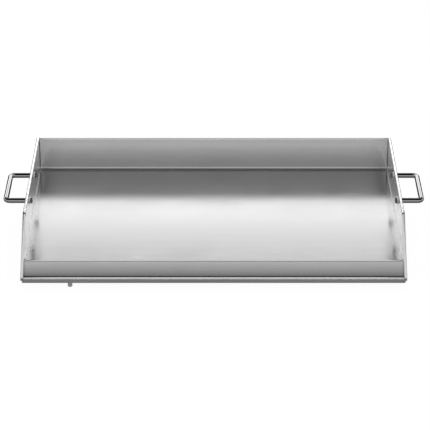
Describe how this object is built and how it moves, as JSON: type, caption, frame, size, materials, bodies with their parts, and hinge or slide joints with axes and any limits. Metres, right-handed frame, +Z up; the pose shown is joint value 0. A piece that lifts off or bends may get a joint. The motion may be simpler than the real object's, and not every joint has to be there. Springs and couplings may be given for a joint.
{
  "type": "flat top griddle",
  "caption": "Stainless steel tray griddle with a flat plate, raised back and sloped side splash walls, front grease trough with drain pipe, and bolted rod handles.",
  "frame": {"origin": "on the surface that the griddle stands on, at the middle of its bounding box", "axes": "+X to the right, from handle to handle; +Y from the front lip to the back wall; +Z up"},
  "size_m": [1.0286, 0.559, 0.143],
  "materials": {
    "plate_steel": "fine brushed, satin, grain left to right",
    "wall_steel": "fine brushed, satin",
    "under_steel": "mill finish, dull",
    "pipe_steel": "drawn tube, semi-bright",
    "fastener_steel": "bright, lightly turned",
    "handle_chrome": "polished"
  },
  "bodies": {
    "root": {"cooking_plate": "plate_steel", "grease_trough": "wall_steel", "drain_pipe": "pipe_steel", "back_wall": "wall_steel", "stiffener_rear": "under_steel", "stiffener_middle": "under_steel", "stiffener_front": "under_steel", "left_side_wall": "wall_steel", "left_handle": "handle_chrome", "left_support_rail": "under_steel", "left_rear_bolt": "fastener_steel", "left_rear_washer": "fastener_steel", "left_front_bolt": "fastener_steel", "left_front_washer": "fastener_steel", "right_side_wall": "wall_steel", "right_handle": "handle_chrome", "right_support_rail": "under_steel", "right_rear_bolt": "fastener_steel", "right_rear_washer": "fastener_steel", "right_front_bolt": "fastener_steel", "right_front_washer": "fastener_steel"}
  },
  "joints": []
}
